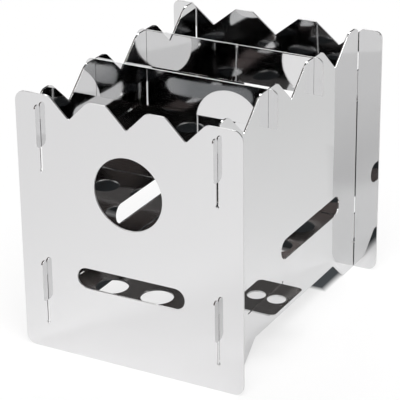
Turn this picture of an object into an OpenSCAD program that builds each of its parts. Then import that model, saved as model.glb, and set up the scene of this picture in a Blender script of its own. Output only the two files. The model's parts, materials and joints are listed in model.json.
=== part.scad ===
// Flat-pack hobo stove: slotted stainless sheet panels round a perforated base plate, two pot bars on top.
// Axes: X across the front panel, Y from the front panel to the back panel, Z up.
// Origin: on the ground, under the middle of the stove.

/* [Sheet] */
// Thickness of the stainless sheet that every piece is cut from
sheet_t = 1; // [0.8:0.1:1.2]
// Extra width of a slot over the sheet that passes through it
slot_play = 0.4; // [0.3:0.1:0.6]

/* [Overall] */
// Width of the front and back panels
panel_w = 150; // [140:1:170]
// Height of the front and back panels
panel_h = 166; // [160:1:180]
// Depth of the stove over the front and back panels
stove_d = 191; // [185:1:205]
// From each end of a front or back panel to the outer face of the side panel
side_inset = 16; // [14:0.5:18]

/* [Front and back panels] */
// Depth of the pointed notches in the top edge
notch_depth = 13.2; // [10:0.1:15]
// Length of the flat top from the front panel's side to its first notch
front_shoulder = 23.2; // [18:0.1:25]
// Length of the flat top from the back panel's side to its first notch
back_shoulder = 13.4; // [11:0.1:20]
// Length of the flat top of a tooth between two notches
tooth_flat = 12.4; // [10:0.1:14]
// Radius of the tooth corners of the front panel
front_tooth_r = 5; // [2:0.5:6]
// Radius of the tooth corners of the back panel
back_tooth_r = 1.5; // [1:0.5:4]
// Radius at the bottom of every notch
notch_r = 1.3; // [0.4:0.1:2]
// Radius of the front panel's top corners
front_corner_r = 6.5; // [4:0.5:10]
// Radius of the back panel's top corners
back_corner_r = 4.5; // [3:0.5:8]
// Radius of the panels' bottom corners
bottom_corner_r = 6.5; // [3:0.5:8]
// Diameter of the round fire hole
fire_hole_d = 45.5; // [40:0.5:50]
// From the top edge down to the middle of the fire hole
fire_hole_drop = 52.5; // [50:0.5:55]
// Length of the air slot under the fire hole
air_slot_l = 73; // [60:1:80]
// Width of every air slot
air_slot_w = 13.4; // [10:0.1:15]
// Height of the middle of the air slot in the front and back panels
air_slot_z = 53.5; // [52:0.5:56]

/* [Hooks] */
// Height of the underside of the lower front hooks
hook_z = 33; // [30:0.5:35]
// From the panels' top edge down to the underside of the upper front hooks
hook_drop = 33; // [30:0.5:36]
// Height of a hook's neck, the part that passes through the slot
neck_h = 17; // [14:0.5:18]
// Length of a hook's finger past its neck
finger_over = 10; // [9:0.5:11]
// Width of a hook's finger
finger_w = 5; // [4:0.5:6]
// Radius of the corner where the finger leaves the neck
heel_r = 3.7; // [2:0.1:3.9]
// Gap between a finger and the face that it hooks over
finger_gap = 0.1; // [0.1:0.1:0.3]
// Gap between a side panel's edge and the panel that it meets
edge_gap = 0.9; // [0.5:0.1:1.2]
// How far the front panel lifts before its slots stop on the hooks
front_lift = 15; // [13:0.5:16]
// How far the side panels lift before their hooks stop in the back panel's slots
back_lift = 12; // [11.5:0.5:13]
// Play above a hook's neck in its slot
hook_play = 0.2; // [0.1:0.1:0.3]
// Diameter of the round end at the bottom of a hook slot
slot_end_d = 2.2; // [1.8:0.1:2.6]

/* [Side panels] */
// Height of the side teeth and the bars above the front and back panels
top_rise = 1.5; // [0:0.1:2]
// Depth of the notches in the side panels' top edge
side_notch_depth = 16.8; // [14:0.1:19]
// Distance between the side notches, and between the two bars
bar_step = 61.5; // [58:0.1:63]
// From the front panel's outer face to the point midway between the bars
bars_y = 94; // [92:0.5:97]
// Length of the flat top of a side tooth
side_tooth_flat = 23.3; // [20:0.1:26]
// Radius of the side panels' tooth corners
side_tooth_r = 9; // [4:0.5:12]
// Radius of the side panels' top end corners
side_end_r = 5; // [2:0.5:5]
// Length of the air slot in a side panel
side_air_slot_l = 84; // [70:1:86]
// From the front panel's outer face to the middle of the side air slot
side_air_slot_y = 123; // [118:0.5:128]
// Height of the middle of the side air slot
side_air_slot_z = 55.5; // [54:0.5:60]
// From the front panel's outer face to the end of the front foot
front_foot_y = 30; // [26:1:34]
// Length of the back foot, from the back panel's outer face
back_foot_l = 18; // [14:1:20]
// Height of the arch between the feet
arch_h = 13.8; // [10:0.2:15]
// Length of the slope from a foot to the top of the arch
arch_run = 16; // [12:0.5:20]
// Radius of the corners of the arch and the feet
arch_r = 3; // [1:0.5:4]

/* [Base plate] */
// Height of the underside of the base plate
plate_z = 33.4; // [32:0.1:36]
// Gap between the base plate and the panels round it
plate_gap = 0.8; // [0.5:0.1:1.5]
// Diameter of the holes in the base plate
grate_hole_d = 20.4; // [16:0.2:21]
// Distance between the hole centres across the stove
grate_step_x = 31.6; // [30:0.2:34]
// Distance between the hole centres from front to back
grate_step_y = 33; // [31:0.2:34]
// From the front panel's outer face to the first row of holes
grate_first_y = 31; // [29:0.5:33]
// Number of holes across the stove
grate_columns = 3; // [1:2:3]
// Number of holes from front to back
grate_rows = 5; // [3:1:5]
// Width of the tabs that pass through the side panels
tab_w = 40.5; // [36:0.5:44]
// From the front panel's outer face to the middle of the tabs
tab_y = 61; // [58:0.5:64]
// How far a tab stands out of the side panel
tab_out = 15.2; // [13:0.1:17]
// Radius of the tab's corners
tab_r = 3.5; // [2:0.5:5]
// Diameter of the hole in each tab
tab_hole_d = 11.6; // [8:0.1:12]
// From a side panel's outer face to the middle of the tab's hole
tab_hole_x = 6.8; // [6.4:0.1:8]
// Length of the tab slot in front of the tab
tab_slot_front = 4; // [2:0.5:6]
// Length of the tab slot behind the tab
tab_slot_back = 1.5; // [1:0.5:3]
// Diameter of the round end of the tab slot
tab_slot_end_d = 2.6; // [2:0.1:3]

/* [Bars] */
// Height of the pot bars
bar_h = 24; // [20:0.5:28]
// How far a bar stands out of each side panel
bar_over = 6; // [5:0.5:9]
// Radius of the bars' top corners
bar_r = 4.5; // [2:0.5:6]

/* [Hidden] */
$fn = 48;

// Straight pieces in each rounded corner of an outline
corner_steps = 6;
// Overrun of a cut past an edge
overrun = sheet_t;
// Rounding of a finger's tip as a share of its width, just short of a half circle
tip_round_share = 0.49;

slot_w = sheet_t + slot_play;
fire_hole_z = panel_h - fire_hole_drop;
hook_step = panel_h - hook_drop - hook_z;
side_outer = panel_w / 2 - side_inset;
side_x = side_outer - sheet_t / 2;
side_top = panel_h + top_rise;
middle_y = stove_d / 2;
side_front = sheet_t + edge_gap;
side_back = stove_d - side_front;
hook_slot_top = hook_z + neck_h + hook_play;
hook_slot_bottom = hook_z - front_lift;
back_neck_bottom = hook_z - back_lift;
bar_bottom = side_top - bar_h;
plate_l = stove_d - 2 * (sheet_t + plate_gap);
plate_end = side_x - sheet_t / 2 - plate_gap;
tab_end = side_outer + tab_out;

steel = [0.82, 0.83, 0.84];
dark_steel = [0.55, 0.56, 0.57];

// Points of the arc that rounds corner b between the sides towards a and c
function corner_arc(a, b, c, r) =
    let (
        u = (a - b) / norm(a - b),
        v = (c - b) / norm(c - b),
        half = acos(u * v) / 2,
        centre = b + (u + v) / norm(u + v) * r / sin(half),
        start = b + u * r / tan(half) - centre,
        turn = -sign(u[0] * v[1] - u[1] * v[0]) * acos(-(u * v))
    )
    [for (i = [0 : corner_steps])
        let (angle = turn * i / corner_steps)
        centre + [
            start[0] * cos(angle) - start[1] * sin(angle),
            start[0] * sin(angle) + start[1] * cos(angle)
        ]];

// Outline through corners given as [x, y, radius], with each corner rounded
function rounded(corners) =
    let (n = len(corners), flat = [for (p = corners) [p[0], p[1]]])
    [for (i = [0 : n - 1])
        let (r = corners[i][2])
        for (p = r > 0 ? corner_arc(flat[(i + n - 1) % n], flat[i], flat[(i + 1) % n], r) : [flat[i]]) p];

// Corners of three pointed notches in a top edge, from the far end back to the near end
function notches(middle, step, top, depth, tooth, tooth_r) =
    [for (i = [1, 0, -1])
        let (x = middle + i * step, run = (step - tooth) / 2)
        for (p = [[x + run, top, tooth_r], [x, top - depth, notch_r], [x - run, top, tooth_r]]) p];

// Slot with round ends, lying along the first axis
module round_slot(length, width) {
    square([length - width, width], center = true);
    for (end = [-1, 1]) {
        translate([end * (length - width) / 2, 0]) circle(d = width);
    }
}

// Corners of a hook on an upright edge: dir 1 leaves it forwards and hangs down, dir -1 leaves it backwards and
// stands up, and root is where the finger's side of the neck meets the edge
function hook(edge, root, dir) =
    let (
        inner = edge + dir * (edge_gap + sheet_t + finger_gap),
        outer = inner + dir * finger_w,
        tip = root - dir * finger_over,
        heel = root + dir * neck_h,
        tip_r = finger_w * tip_round_share
    )
    [
        [edge, root, 0],
        [inner, root, 0],
        [inner, tip, tip_r],
        [outer, tip, tip_r],
        [outer, heel, heel_r],
        [edge, heel, 0]
    ];

// Slots that the hooks of both side panels pass through
module hook_slots() {
    for (side = [-1, 1], rise = [0, hook_step]) {
        translate([side * side_x, rise]) {
            translate([-slot_w / 2, hook_slot_bottom]) square([slot_w, hook_slot_top - hook_slot_bottom]);
            translate([0, hook_slot_bottom]) circle(d = slot_end_d);
        }
    }
}

// Flat shape of a front or back panel, its three notches spread between the shoulders
module panel_shape(shoulder, tooth_r, corner_r) {
    notch_step = (panel_w - 2 * shoulder + tooth_flat) / 3;
    difference() {
        polygon(rounded(concat(
            [[-panel_w / 2, 0, bottom_corner_r], [panel_w / 2, 0, bottom_corner_r]],
            [[panel_w / 2, panel_h, corner_r]],
            notches(0, notch_step, panel_h, notch_depth, tooth_flat, tooth_r),
            [[-panel_w / 2, panel_h, corner_r]]
        )));
        translate([0, fire_hole_z]) circle(d = fire_hole_d);
        translate([0, air_slot_z]) round_slot(air_slot_l, air_slot_w);
        hook_slots();
    }
}

// Upright sheet across the stove, its front face at the given distance behind the front panel's outer face
module across(depth) {
    translate([0, depth + sheet_t - middle_y, 0]) rotate([90, 0, 0]) linear_extrude(sheet_t) children();
}

module front_panel() {
    color(steel) across(0) panel_shape(front_shoulder, front_tooth_r, front_corner_r);
}

module back_panel() {
    color(steel) across(stove_d - sheet_t) panel_shape(back_shoulder, back_tooth_r, back_corner_r);
}

// Corners of a side panel's outline, seen with the front of the stove on the left
function side_outline() =
    concat(
        [
            [side_front, 0, 0],
            [front_foot_y, 0, arch_r],
            [front_foot_y + arch_run, arch_h, arch_r],
            [stove_d - back_foot_l - arch_run, arch_h, arch_r],
            [stove_d - back_foot_l, 0, arch_r],
            [side_back, 0, 0]
        ],
        hook(side_back, back_neck_bottom, 1),
        hook(side_back, back_neck_bottom + hook_step, 1),
        [[side_back, side_top, side_end_r]],
        notches(bars_y, bar_step, side_top, side_notch_depth, side_tooth_flat, side_tooth_r),
        [[side_front, side_top, side_end_r]],
        hook(side_front, hook_z + neck_h + hook_step, -1),
        hook(side_front, hook_z + neck_h, -1)
    );

// Slot for a base plate tab, longer than the tab so that the plate can be worked in
module tab_slot() {
    slot_start = tab_y - tab_w / 2 - tab_slot_front;
    slot_end = tab_y + tab_w / 2 + tab_slot_back;
    translate([slot_start, plate_z]) square([slot_end - slot_start, slot_w]);
    translate([slot_end, plate_z + slot_w / 2]) circle(d = tab_slot_end_d);
}

// Flat shape of a side panel
module side_shape() {
    difference() {
        polygon(rounded(side_outline()));
        for (side = [-1, 1]) {
            translate([bars_y + side * bar_step / 2 - slot_w / 2, bar_bottom]) square([slot_w, bar_h + overrun]);
        }
        translate([side_air_slot_y, side_air_slot_z]) round_slot(side_air_slot_l, air_slot_w);
        tab_slot();
    }
}

// Upright sheet from front to back, with its middle plane at the given distance from the stove's
module along(x) {
    translate([x - sheet_t / 2, -middle_y, 0]) rotate([90, 0, 90]) linear_extrude(sheet_t) children();
}

module left_side_panel() {
    color(steel) along(-side_x) side_shape();
}

module right_side_panel() {
    color(steel) along(side_x) side_shape();
}

// Corners of one side edge of the base plate with its tab: dir 1 runs back along the right side, dir -1 runs
// forwards along the left
function plate_side(dir) =
    [
        [dir * plate_end, middle_y - dir * plate_l / 2, 0],
        [dir * plate_end, tab_y - dir * tab_w / 2, 0],
        [dir * tab_end, tab_y - dir * tab_w / 2, tab_r],
        [dir * tab_end, tab_y + dir * tab_w / 2, tab_r],
        [dir * plate_end, tab_y + dir * tab_w / 2, 0],
        [dir * plate_end, middle_y + dir * plate_l / 2, 0]
    ];

module base_plate() {
    color(dark_steel) translate([0, -middle_y, plate_z]) linear_extrude(sheet_t) difference() {
        polygon(rounded(concat(plate_side(1), plate_side(-1))));
        for (column = [0 : grate_columns - 1], row = [0 : grate_rows - 1]) {
            x = (column - (grate_columns - 1) / 2) * grate_step_x;
            translate([x, grate_first_y + row * grate_step_y]) circle(d = grate_hole_d);
        }
        for (side = [-1, 1]) {
            translate([side * (side_outer + tab_hole_x), tab_y]) circle(d = tab_hole_d);
        }
    }
}

// Pot bar standing on edge across the side panels
module bar(y) {
    bar_end = side_outer + bar_over;
    across(y - sheet_t / 2) polygon(rounded([
        [-bar_end, bar_bottom, 0],
        [bar_end, bar_bottom, 0],
        [bar_end, side_top, bar_r],
        [-bar_end, side_top, bar_r]
    ]));
}

module front_bar() {
    color(steel) bar(bars_y - bar_step / 2);
}

module rear_bar() {
    color(steel) bar(bars_y + bar_step / 2);
}

front_panel();
back_panel();
left_side_panel();
right_side_panel();
base_plate();
front_bar();
rear_bar();
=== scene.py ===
"""Looks of a flat-pack hobo stove: mirror-polished stainless sheets on a white studio floor."""

import json
import math

import bmesh
import bpy
from mathutils import Matrix, Vector


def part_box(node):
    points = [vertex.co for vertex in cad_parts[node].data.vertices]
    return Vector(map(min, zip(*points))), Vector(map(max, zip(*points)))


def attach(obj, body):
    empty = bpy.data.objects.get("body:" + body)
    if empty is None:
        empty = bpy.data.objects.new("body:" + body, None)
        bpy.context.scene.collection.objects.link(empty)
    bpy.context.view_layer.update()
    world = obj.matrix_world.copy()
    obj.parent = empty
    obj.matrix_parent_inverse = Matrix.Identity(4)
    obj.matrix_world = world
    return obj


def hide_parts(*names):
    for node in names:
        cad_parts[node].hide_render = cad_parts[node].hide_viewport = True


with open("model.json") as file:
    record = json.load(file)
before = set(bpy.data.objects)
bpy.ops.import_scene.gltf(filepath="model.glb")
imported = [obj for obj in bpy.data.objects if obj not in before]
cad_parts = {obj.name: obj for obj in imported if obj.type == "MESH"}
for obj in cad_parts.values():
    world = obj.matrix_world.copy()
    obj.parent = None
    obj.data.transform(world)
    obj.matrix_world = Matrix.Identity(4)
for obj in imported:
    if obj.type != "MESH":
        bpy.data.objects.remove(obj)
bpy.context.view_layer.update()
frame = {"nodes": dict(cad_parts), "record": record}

# Camera, set to the photograph's viewing angle, with its angles in degrees
CAMERA_PLACE = Vector((0.5274, -0.9695, 0.5579))
CAMERA_AZIMUTH = 28.773
CAMERA_ELEVATION = 23.711
CAMERA_ROLL = -0.703
CAMERA_REACH = 100
LENS = 173.72
SENSOR = 36.0

# Lights: azimuth and elevation in degrees, strength, and width in degrees
KEY_LIGHT = (35, 62, 2.5, 44)
BACK_LIGHT = (-151, 40, 0.6, 16)

WHITE = (1.0, 1.0, 1.0)
# Ramp that rises evenly from nothing to all
EVEN_RISE = ((0.0, 0.0), (1.0, 1.0))

# Room above the floor, seen by all rays but the camera's. Heights go from 0 straight down to 1 straight up
SKY_STOPS = ((0.0, 1.0), (0.545, 1.0), (0.585, 0.0), (0.94, 0.0), (0.965, 1.0))
TURN_STOPS = ((0.4, 0.0), (0.6, 1.0))
PATCH = {"scale": 11.0, "detail": 1.0}
PATCH_STOPS = ((0.48, 0.0), (0.56, 1.0))
ROOM_LEFT = (0.008, 0.007, 0.007)
ROOM_RIGHT = (0.085, 0.083, 0.083)
ROOM_FRONT = (0.20, 0.17, 0.165)
ROOM_FRONT_DARK = (0.05, 0.042, 0.04)

# Floor. The board is what all rays but the camera's see of it, darker towards the back and the left
FLOOR_SIZE = 60.0
FLOOR_COLOUR = (0.93, 0.93, 0.93)
SEEN_GLOW = 0.75
MIRRORED_GLOW = 0.15
BOARD_AWAY = (0.48, 0.88, 0.0)
BOARD_RIGHT = (1.0, 0.0, 0.0)
BOARD_START = -0.10
BOARD_FALL = 0.50
BOARD_STOPS = (
    (0.0, (0.955, 0.955, 0.96)),
    (0.45, (0.82, 0.822, 0.825)),
    (1.0, (0.735, 0.74, 0.74)),
)
BOARD_LEFT = (0.92, 0.92, 0.92)
BOARD_LEFT_START = -0.25
BOARD_LEFT_FALL = 0.30

# Painted shades on the floor. One is a dim patch of painted shade at the stove's front right
SHADE = (0.075, 0.082, 0.088)
SHADE_SOFT = 0.006
BEHIND_REACH = 0.19
BEHIND_SLOPE = 2.0
BEHIND_SOFT = 0.05
BEHIND_DIM = (0.36, 0.37, 0.38)
# Painted shade at the stove's front right: a dim patch on the floor, seen by all rays but the camera's
FRONT_RIGHT_SHADE_INSET = 0.02
FRONT_RIGHT_SHADE_SLOPE = 1.6
FRONT_RIGHT_SHADE_SOFT = 0.05
FRONT_RIGHT_SHADE_SPAN = 0.7
FRONT_RIGHT_SHADE_STOPS = ((0.1, 0.80), (0.4, 0.81), (0.75, 0.84), (0.757, 0.97))
REAR_SHADE_DEPTH = 0.044
REAR_SHADE_SOFT = 0.005

# Finishes, as linear colours and roughnesses
POLISHED = (0.80, 0.80, 0.802)
POLISHED_TINT = (0.78, 0.782, 0.785)
GRATE = (0.76, 0.745, 0.735)
GRATE_TINT = (0.68, 0.655, 0.645)
CUT_EDGE = (0.80, 0.80, 0.80)
SHEET_POLISH = 0.02
PLATE_POLISH = 0.11
FINE_CUT = 0.10
PLATE_CUT = 0.22
DULL_CUT = 0.34

# Marks on the sheets: their noises, and what they add to the roughness or the height
SEED_SPREAD = (1.0, 0.37, 0.71)
CLOUD = {"scale": 9.0, "detail": 3.0}
SMEAR = {"scale": 55.0, "detail": 5.0, "roughness": 0.6}
SMEAR_STOPS = ((0.45, 0.0), (0.75, 1.0))
SMEAR_ROUGH = 0.025
SMEAR_DEPTH = 0.000003
SCRATCH = {"scale": 1.0}
SCRATCH_TURN = (0.2, 0.35, 0.15)
SCRATCH_STRETCH = (900.0, 30.0, 30.0)
SCRATCH_STOPS = ((0.66, 0.0), (0.72, 1.0))
SCRATCH_ROUGH = 0.03
RIDGES = {"scale": 1500.0, "detail": 1.0}
RIDGE_ROUGH = 0.05
WAVE = {"scale": 14.0, "detail": 1.0}
WAVE_DEPTH = 0.0003
# Faces that lean further than this from the sheet's own direction, as a cosine, are cut edges
EDGE_LEAN = 0.7

# Sheet, with its angles in degrees
CUT_BREAK = 0.00005
BREAK_STEPS = 2
BREAK_ANGLE = 40
WELD_REACH = 0.000002
FLAT_ANGLE = 0.5

# Base plate, laid out from the middle of the stove
PLATE_TAB_CORNER = 0.0035
TAB_REACH = 0.017
TAB_MIDDLE = -0.0345
TAB_WIDTH = 0.0405
GRATE_HOLE_R = 0.0102
GRATE_STEP = (0.0316, 0.033)
GRATE_COUNT = (3, 5)
GRATE_FIRST_ROW = -0.0645
HOLE_POINTS = 64
CORNER_POINTS = 8

# Directions that the sheets face
ACROSS = (0, 1, 0)
ALONG = (1, 0, 0)
FLAT = (0, 0, 1)

# Upright sheets: node, body, direction faced, seed of the marks and roughness of the cut edges
SHEETS = (
    ("front_panel", "front", ACROSS, 1.3, DULL_CUT),
    ("back_panel", "back", ACROSS, 5.1, DULL_CUT),
    ("left_side_panel", "side_frame", ALONG, 8.2, FINE_CUT),
    ("right_side_panel", "side_frame", ALONG, 12.9, FINE_CUT),
    ("front_bar", "front_bar", ACROSS, 21.7, DULL_CUT),
    ("rear_bar", "rear_bar", ACROSS, 25.5, DULL_CUT),
)
PLATE_SEED = 17.4


def add_camera():
    """Camera looking along the photograph's line of sight."""
    data = bpy.data.cameras.new("camera")
    data.lens = LENS
    data.sensor_width = SENSOR
    data.clip_end = CAMERA_REACH
    camera = bpy.data.objects.new("camera", data)
    turn = Matrix.Rotation(math.radians(CAMERA_AZIMUTH), 4, "Z")
    tilt = Matrix.Rotation(math.radians(90 - CAMERA_ELEVATION), 4, "X")
    roll = Matrix.Rotation(math.radians(CAMERA_ROLL), 4, "Z")
    camera.matrix_world = Matrix.Translation(CAMERA_PLACE) @ turn @ tilt @ roll
    bpy.context.collection.objects.link(camera)
    bpy.context.scene.camera = camera


def add_sun(name, azimuth, elevation, strength, width):
    """Large soft light from far away, given by where it stands."""
    data = bpy.data.lights.new(name, "SUN")
    data.energy = strength
    data.angle = math.radians(width)
    light = bpy.data.objects.new(name, data)
    turn = Matrix.Rotation(math.radians(azimuth), 4, "Z")
    tilt = Matrix.Rotation(math.radians(90 - elevation), 4, "X")
    light.matrix_world = turn @ tilt
    bpy.context.collection.objects.link(light)


class Nodes:
    """Short way to add and join the nodes of one tree."""

    def __init__(self, tree):
        self.tree = tree
        tree.nodes.clear()

    def feed(self, node, key, value):
        """Joins a socket to an input, or sets the input's own value."""
        if isinstance(value, bpy.types.NodeSocket):
            self.tree.links.new(value, node.inputs[key])
        else:
            node.inputs[key].default_value = value

    def add(self, kind, inputs=None, **settings):
        """New node with its settings made and its inputs fed."""
        node = self.tree.nodes.new(kind)
        for key, value in settings.items():
            setattr(node, key, value)
        for key, value in (inputs or {}).items():
            self.feed(node, key, value)
        return node

    def math(self, operation, *values):
        """Result of a sum on numbers."""
        return self.add("ShaderNodeMath", dict(enumerate(values)), operation=operation).outputs[0]

    def vector(self, operation, a, b, output="Vector"):
        """Result of a sum on two vectors."""
        return self.add("ShaderNodeVectorMath", {0: a, 1: b}, operation=operation).outputs[output]

    def mix(self, factor, a, b):
        """Colour between a and b."""
        node = self.add("ShaderNodeMix", {0: factor}, data_type="RGBA")
        for key, value in ((6, a), (7, b)):
            self.feed(node, key, (*value, 1) if isinstance(value, tuple) else value)
        return node.outputs[2]

    def noise(self, place, scale, detail=2.0, roughness=0.5):
        """Soft random pattern from 0 to 1."""
        inputs = {"Vector": place, "Scale": scale, "Detail": detail, "Roughness": roughness}
        return self.add("ShaderNodeTexNoise", inputs).outputs["Fac"]

    def ramp(self, value, stops):
        """Colour or grey read from a ramp of (position, colour or grey) stops."""
        node = self.add("ShaderNodeValToRGB", {0: value})
        elements = node.color_ramp.elements
        while len(elements) < len(stops):
            elements.new(0.5)
        for element, (place, colour) in zip(elements, stops):
            element.position = place
            element.color = (*colour, 1) if isinstance(colour, tuple) else (colour, colour, colour, 1)
        return node.outputs[0]


def set_world():
    """White round the horizon, a dark room with dull brown patches above it, and white overhead."""
    world = bpy.data.worlds.new("studio")
    world.use_nodes = True
    bpy.context.scene.world = world
    n = Nodes(world.node_tree)
    direction = n.add("ShaderNodeTexCoord").outputs["Generated"]
    parts = n.add("ShaderNodeSeparateXYZ", {0: direction}).outputs
    height = n.math("MULTIPLY_ADD", parts["Z"], 0.5, 0.5)
    to_right = n.ramp(n.math("ADD", parts["X"], 0.5), TURN_STOPS)
    to_back = n.ramp(n.math("ADD", parts["Y"], 0.5), TURN_STOPS)
    patch = n.ramp(n.noise(direction, **PATCH), PATCH_STOPS)
    front = n.mix(patch, ROOM_FRONT_DARK, ROOM_FRONT)
    behind = n.mix(to_right, ROOM_LEFT, ROOM_RIGHT)
    room = n.mix(to_back, front, behind)
    sky = n.mix(n.ramp(height, SKY_STOPS), room, WHITE)
    seen = n.add("ShaderNodeLightPath").outputs["Is Camera Ray"]
    colour = n.mix(seen, sky, WHITE)
    background = n.add("ShaderNodeBackground", {"Color": colour, "Strength": 1.0})
    n.add("ShaderNodeOutputWorld", {"Surface": background.outputs[0]})


def inside_all(n, limits, soft):
    """Share of a place on the floor that lies past every limit, each given as a distance."""
    least = n.math("MULTIPLY", limits[0], 1 / soft)
    for limit in limits[1:]:
        least = n.math("MINIMUM", least, n.math("MULTIPLY", limit, 1 / soft))
    return n.ramp(least, EVEN_RISE)


def floor_places(n, place):
    """Shares of four places on the floor.

    They are the painted shade under the stove, the weaker one behind it, the dim patch of painted shade at
    its front right, and the deep painted shade where the back panel meets the floor inside.
    """
    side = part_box("right_side_panel")[1][0]
    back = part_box("back_panel")[0][1]
    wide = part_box("back_panel")[1][0]
    parts = n.add("ShaderNodeSeparateXYZ", {0: place}).outputs
    x, y = parts["X"], parts["Y"]

    in_width = n.math("SUBTRACT", side, n.math("ABSOLUTE", x))
    past_front = n.math("ADD", y, back)
    short_of_back = n.math("SUBTRACT", back, y)
    under = inside_all(n, [past_front, short_of_back, in_width], SHADE_SOFT)

    past_back = n.math("SUBTRACT", y, back)
    short_of_end = n.math("SUBTRACT", BEHIND_REACH, past_back)
    past_left = n.math("ADD", x, wide)
    right_end = n.math("MULTIPLY_ADD", past_back, 1 / BEHIND_SLOPE, wide)
    short_of_right = n.math("SUBTRACT", right_end, x)
    behind = inside_all(n, [past_back, short_of_end, past_left, short_of_right], BEHIND_SOFT)

    # Painted shade: a dim patch on the floor at the stove's front right, past the side panel
    front_right_shade_end = n.math("MULTIPLY_ADD", x, FRONT_RIGHT_SHADE_SLOPE, -FRONT_RIGHT_SHADE_SLOPE * side - back)
    short_of_front_right_shade_end = n.math("SUBTRACT", front_right_shade_end, y)
    right_of_side = n.math("SUBTRACT", x, side + FRONT_RIGHT_SHADE_INSET)
    front_right_shade = inside_all(n, [short_of_front_right_shade_end, right_of_side], FRONT_RIGHT_SHADE_SOFT)

    near_back = n.math("SUBTRACT", y, back - REAR_SHADE_DEPTH)
    rear = inside_all(n, [near_back, short_of_back, in_width], REAR_SHADE_SOFT)
    return under, behind, front_right_shade, rear


def floor_colour(n, place, camera_ray):
    """White with the deep rear shade for the camera, and the board with its shades for all other rays."""
    under, behind, front_right_shade, rear = floor_places(n, place)
    back = n.vector("DOT_PRODUCT", place, BOARD_AWAY, "Value")
    back = n.math("MULTIPLY_ADD", back, 1 / BOARD_FALL, -BOARD_START / BOARD_FALL)
    side = n.vector("DOT_PRODUCT", place, BOARD_RIGHT, "Value")
    side = n.math("MULTIPLY_ADD", side, 1 / BOARD_LEFT_FALL, -BOARD_LEFT_START / BOARD_LEFT_FALL)
    left = n.mix(n.ramp(side, EVEN_RISE), BOARD_LEFT, WHITE)
    board = n.vector("MULTIPLY", n.ramp(back, BOARD_STOPS), left)
    forward = n.vector("DOT_PRODUCT", place, (1 / FRONT_RIGHT_SHADE_SPAN, -1 / FRONT_RIGHT_SHADE_SPAN, 0.0), "Value")
    # Dims the board with the painted shade at the stove's front right
    board = n.mix(front_right_shade, board, n.vector("MULTIPLY", board, n.ramp(forward, FRONT_RIGHT_SHADE_STOPS)))
    board = n.mix(behind, board, n.vector("MULTIPLY", board, BEHIND_DIM))
    board = n.mix(under, board, SHADE)
    return n.mix(camera_ray, board, n.mix(rear, WHITE, SHADE))


def add_floor():
    """Pale floor that keeps the stove's soft shadow, a little darker towards the back in reflections."""
    half = FLOOR_SIZE / 2
    mesh = bpy.data.meshes.new("floor")
    corners = [(-half, -half, 0), (half, -half, 0), (half, half, 0), (-half, half, 0)]
    mesh.from_pydata(corners, [], [(0, 1, 2, 3)])
    floor = bpy.data.objects.new("floor", mesh)
    bpy.context.collection.objects.link(floor)
    material = bpy.data.materials.new("floor")
    material.use_nodes = True
    n = Nodes(material.node_tree)
    place = n.add("ShaderNodeTexCoord").outputs["Object"]
    path = n.add("ShaderNodeLightPath").outputs
    camera_ray = path["Is Camera Ray"]
    colour = floor_colour(n, place, camera_ray)
    glow = n.add("ShaderNodeEmission", {"Color": colour})
    diffuse = n.add("ShaderNodeBsdfDiffuse", {"Color": n.vector("MULTIPLY", colour, FLOOR_COLOUR)})
    mirrored = n.math("MAXIMUM", path["Is Glossy Ray"], path["Is Transmission Ray"])
    seen_share = n.math("MULTIPLY", camera_ray, SEEN_GLOW)
    share = n.math("MAXIMUM", seen_share, n.math("MULTIPLY", mirrored, MIRRORED_GLOW))
    both = n.add("ShaderNodeMixShader", {0: share, 1: diffuse.outputs[0], 2: glow.outputs[0]})
    n.add("ShaderNodeOutputMaterial", {"Surface": both.outputs[0]})
    mesh.materials.append(material)


def sheet_material(name, facing, colour, tint, seed, polish, cut_edge):
    """Mirror-polished sheet that faces along one axis, with faint waves, rubbed marks and cut edges."""
    material = bpy.data.materials.new(name)
    material.use_nodes = True
    n = Nodes(material.node_tree)
    place = n.add("ShaderNodeTexCoord").outputs["Object"]
    spread = tuple(share * seed for share in SEED_SPREAD)
    shifted = n.add("ShaderNodeMapping", {0: place, "Location": spread}).outputs[0]

    normal = n.add("ShaderNodeNewGeometry").outputs["Normal"]
    along = n.vector("DOT_PRODUCT", normal, facing, "Value")
    edge = n.math("LESS_THAN", n.math("ABSOLUTE", along), EDGE_LEAN)

    cloud = n.noise(shifted, **CLOUD)
    smear = n.noise(shifted, **SMEAR)
    turned = {0: shifted, "Rotation": SCRATCH_TURN, "Scale": SCRATCH_STRETCH}
    hairline = n.noise(n.add("ShaderNodeMapping", turned).outputs[0], **SCRATCH)
    ridges = n.noise(shifted, **RIDGES)

    base = n.mix(edge, n.mix(cloud, colour, tint), CUT_EDGE)
    rubbed = n.math("MULTIPLY_ADD", n.ramp(smear, SMEAR_STOPS), SMEAR_ROUGH, polish)
    worn = n.math("MULTIPLY_ADD", n.ramp(hairline, SCRATCH_STOPS), SCRATCH_ROUGH, rubbed)
    cut = n.math("MULTIPLY_ADD", ridges, RIDGE_ROUGH, cut_edge)
    rough = n.add("ShaderNodeMix", {0: edge, 2: worn, 3: cut}, data_type="FLOAT").outputs[0]

    wave = n.noise(shifted, **WAVE)
    waves = n.add("ShaderNodeBump", {"Height": wave, "Strength": 1.0, "Distance": WAVE_DEPTH})
    relief = n.add("ShaderNodeBump", {
        "Height": smear, "Strength": 1.0, "Distance": SMEAR_DEPTH, "Normal": waves.outputs[0],
    })

    steel = n.add("ShaderNodeBsdfPrincipled", {
        "Base Color": base, "Metallic": 1.0, "Roughness": rough, "Normal": relief.outputs[0],
    })
    n.add("ShaderNodeOutputMaterial", {"Surface": steel.outputs[0]})
    return material


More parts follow.
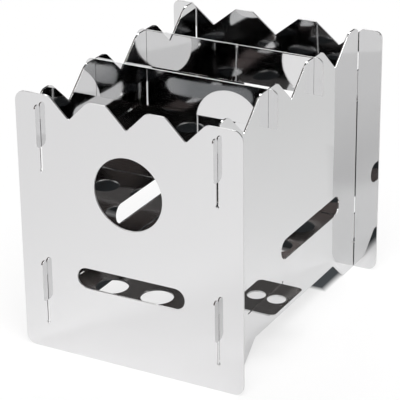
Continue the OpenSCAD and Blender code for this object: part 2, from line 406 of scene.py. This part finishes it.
def plain_copy(piece, name):
    """Mesh of a piece with its modifiers worked in, as an object of its own."""
    seen = piece.evaluated_get(bpy.context.evaluated_depsgraph_get())
    mesh = bpy.data.meshes.new_from_object(seen)
    bpy.data.objects.remove(piece)
    mesh.name = name
    result = bpy.data.objects.new(name, mesh)
    bpy.context.collection.objects.link(result)
    return result


def break_edges(piece, name):
    """Takes the sharpness off the cut edges, as tumbling does after the laser."""
    bevel = piece.modifiers.new("cut_edges", "BEVEL")
    bevel.width = CUT_BREAK
    bevel.segments = BREAK_STEPS
    bevel.limit_method = "ANGLE"
    bevel.angle_limit = math.radians(BREAK_ANGLE)
    bevel.use_clamp_overlap = False
    return plain_copy(piece, name)


def place_piece(piece, node, body, material):
    """Lets a finished sheet stand for its node."""
    piece.data.materials.clear()
    piece.data.materials.append(material)
    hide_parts(node)
    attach(piece, body)


def add_sheet(node, body, facing, seed, cut_edge):
    """Sheet cut to its node's outline, with broken edges."""
    form = bmesh.new()
    form.from_mesh(frame["nodes"][node].data)
    bmesh.ops.remove_doubles(form, verts=form.verts, dist=WELD_REACH)
    flat = math.radians(FLAT_ANGLE)
    bmesh.ops.dissolve_limit(form, angle_limit=flat, verts=form.verts, edges=form.edges)
    mesh = bpy.data.meshes.new(node + "_cut")
    form.to_mesh(mesh)
    form.free()
    blank = bpy.data.objects.new(node + "_cut", mesh)
    bpy.context.collection.objects.link(blank)
    piece = break_edges(blank, node + "_sheet")
    name = node + "_steel"
    material = sheet_material(name, facing, POLISHED, POLISHED_TINT, seed, SHEET_POLISH, cut_edge)
    place_piece(piece, node, body, material)


def plate_outline(low, high):
    """Corners of the base plate with its two tabs, worked out from the node's box, going round once."""
    side = high.x - TAB_REACH
    near = TAB_MIDDLE - TAB_WIDTH / 2
    far = TAB_MIDDLE + TAB_WIDTH / 2
    r = PLATE_TAB_CORNER
    half = [(side, low.y), (side, near)]
    for middle, start in (((high.x - r, near + r), -90), ((high.x - r, far - r), 0)):
        for step in range(CORNER_POINTS + 1):
            angle = math.radians(start + 90 * step / CORNER_POINTS)
            half.append((middle[0] + r * math.cos(angle), middle[1] + r * math.sin(angle)))
    half += [(side, far), (side, high.y)]
    return half + [(-x, y) for x, y in reversed(half)]


def perforation_tree():
    """Node group that fills an outline round a grid of holes and two tab holes, and thickens it."""
    tree = bpy.data.node_groups.new("perforated_plate", "GeometryNodeTree")
    face = tree.interface
    face.new_socket("Outline", in_out="INPUT", socket_type="NodeSocketGeometry")
    for name in ("Underside", "Thickness", "Hole radius", "Step across", "Step back", "First row",
                 "Tab hole radius", "Tab hole reach", "Tab hole place"):
        face.new_socket(name, in_out="INPUT", socket_type="NodeSocketFloat")
    for name in ("Columns", "Rows"):
        face.new_socket(name, in_out="INPUT", socket_type="NodeSocketInt")
    face.new_socket("Finish", in_out="INPUT", socket_type="NodeSocketMaterial")
    face.new_socket("Plate", in_out="OUTPUT", socket_type="NodeSocketGeometry")
    n = Nodes(tree)
    given = n.add("NodeGroupInput").outputs

    def offset(x, y, z):
        return n.add("ShaderNodeCombineXYZ", {0: x, 1: y, 2: z}).outputs[0]

    def moved(geometry, way):
        return n.add("GeometryNodeTransform", {"Geometry": geometry, "Translation": way}).outputs[0]

    def circles(points, radius):
        ring = n.add("GeometryNodeCurvePrimitiveCircle", {"Resolution": HOLE_POINTS, "Radius": radius})
        copies = {"Points": points, "Instance": ring.outputs[0]}
        return n.add("GeometryNodeInstanceOnPoints", copies).outputs[0]

    def joined(*geometries):
        join = n.add("GeometryNodeJoinGeometry")
        for geometry in geometries:
            tree.links.new(geometry, join.inputs[0])
        return join.outputs[0]

    width = n.math("MULTIPLY", given["Step across"], n.math("SUBTRACT", given["Columns"], 1.0))
    length = n.math("MULTIPLY", given["Step back"], n.math("SUBTRACT", given["Rows"], 1.0))
    grid = n.add("GeometryNodeMeshGrid", {
        "Size X": width, "Size Y": length, "Vertices X": given["Columns"], "Vertices Y": given["Rows"],
    }).outputs["Mesh"]
    middle = n.math("MULTIPLY_ADD", length, 0.5, given["First row"])
    grate = circles(moved(grid, offset(0.0, middle, 0.0)), given["Hole radius"])

    left = offset(n.math("MULTIPLY", given["Tab hole reach"], -1.0), given["Tab hole place"], 0.0)
    span = offset(n.math("MULTIPLY", given["Tab hole reach"], 2.0), 0.0, 0.0)
    pair = n.add("GeometryNodeMeshLine", {"Count": 2, "Start Location": left, "Offset": span}).outputs[0]
    tabs = circles(pair, given["Tab hole radius"])

    outline = n.add("GeometryNodeMeshToCurve", {"Mesh": given["Outline"]}).outputs[0]
    cuts = joined(outline, grate, tabs)
    curves = n.add("GeometryNodeRealizeInstances", {"Geometry": cuts}).outputs[0]
    sheet = n.add("GeometryNodeFillCurve", {"Curve": curves}, mode="TRIANGLES").outputs[0]
    raised = n.add("GeometryNodeExtrudeMesh", {
        "Mesh": sheet, "Offset": (0.0, 0.0, 1.0), "Offset Scale": given["Thickness"], "Individual": False,
    }).outputs["Mesh"]
    under = n.add("GeometryNodeFlipFaces", {"Mesh": sheet}).outputs[0]
    shell = {"Geometry": joined(raised, under), "Distance": WELD_REACH}
    welded = n.add("GeometryNodeMergeByDistance", shell).outputs[0]
    lifted = moved(welded, offset(0.0, 0.0, given["Underside"]))
    whole = n.add("GeometryNodeRealizeInstances", {"Geometry": lifted}).outputs[0]
    finish = {"Geometry": whole, "Material": given["Finish"]}
    n.add("NodeGroupOutput", {"Plate": n.add("GeometryNodeSetMaterial", finish).outputs[0]})
    return tree


def add_base_plate():
    """Perforated plate, its holes set out by geometry nodes inside the outline with the two tabs."""
    low, high = (Vector(corner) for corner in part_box("base_plate"))
    points = plate_outline(low, high)
    rim = [(i, (i + 1) % len(points)) for i in range(len(points))]
    mesh = bpy.data.meshes.new("base_plate_outline")
    mesh.from_pydata([(x, y, 0) for x, y in points], rim, [])
    blank = bpy.data.objects.new("base_plate_outline", mesh)
    bpy.context.collection.objects.link(blank)
    finish = (GRATE, GRATE_TINT, PLATE_SEED, PLATE_POLISH, PLATE_CUT)
    material = sheet_material("base_plate_steel", FLAT, *finish)
    tab_hole = next(m for m in frame["record"]["mounts"] if m["name"] == "right_tab_hole")
    tree = perforation_tree()
    modifier = blank.modifiers.new("perforations", "NODES")
    modifier.node_group = tree
    values = {
        "Underside": low.z,
        "Thickness": high.z - low.z,
        "Hole radius": GRATE_HOLE_R,
        "Step across": GRATE_STEP[0],
        "Step back": GRATE_STEP[1],
        "First row": GRATE_FIRST_ROW,
        "Tab hole radius": tab_hole["dims"]["r_mm"] / 1000,
        "Tab hole reach": tab_hole["pos_m"][0],
        "Tab hole place": tab_hole["pos_m"][1],
        "Columns": GRATE_COUNT[0],
        "Rows": GRATE_COUNT[1],
        "Finish": material,
    }
    for item in tree.interface.items_tree:
        if item.name in values:
            modifier[item.identifier] = values[item.name]
    cut = plain_copy(blank, "base_plate_cut")
    place_piece(break_edges(cut, "base_plate_sheet"), "base_plate", "side_frame", material)


add_camera()
set_world()
add_floor()
add_sun("key_light", *KEY_LIGHT)
add_sun("back_light", *BACK_LIGHT)
for sheet in SHEETS:
    add_sheet(*sheet)
add_base_plate()

bpy.context.scene.view_settings.view_transform = "Standard"
